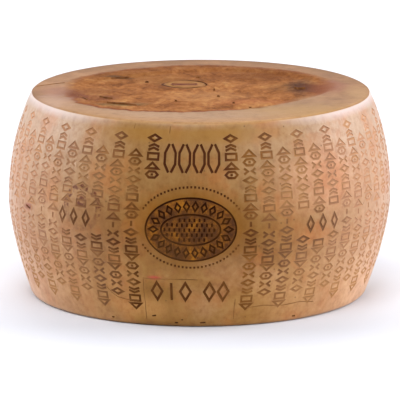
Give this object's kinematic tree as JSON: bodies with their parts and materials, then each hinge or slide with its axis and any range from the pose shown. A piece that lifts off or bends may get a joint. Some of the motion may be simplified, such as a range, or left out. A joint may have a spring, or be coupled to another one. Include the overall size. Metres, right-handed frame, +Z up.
{
  "type": "parmesan wheel",
  "caption": "Whole wheel of hard aged cheese with bulging sides, crisp edges, a flat rimmed top and a natural rind pressed all round with small marks.",
  "frame": {"origin": "centre of the flat base", "axes": "+Z up along the drum's axis, front with the burned oval towards -Y, +X to the right of it"},
  "size_m": [0.4412, 0.4394, 0.235],
  "materials": {
    "rind": "natural oiled cheese rind, tan to amber, satin, hard and slightly waxy",
    "casein": "pressed casein plate, yellowish, stained dark by smoke and oil"
  },
  "bodies": {
    "root": {"wheel": "rind", "casein_plate": "casein"}
  },
  "joints": []
}
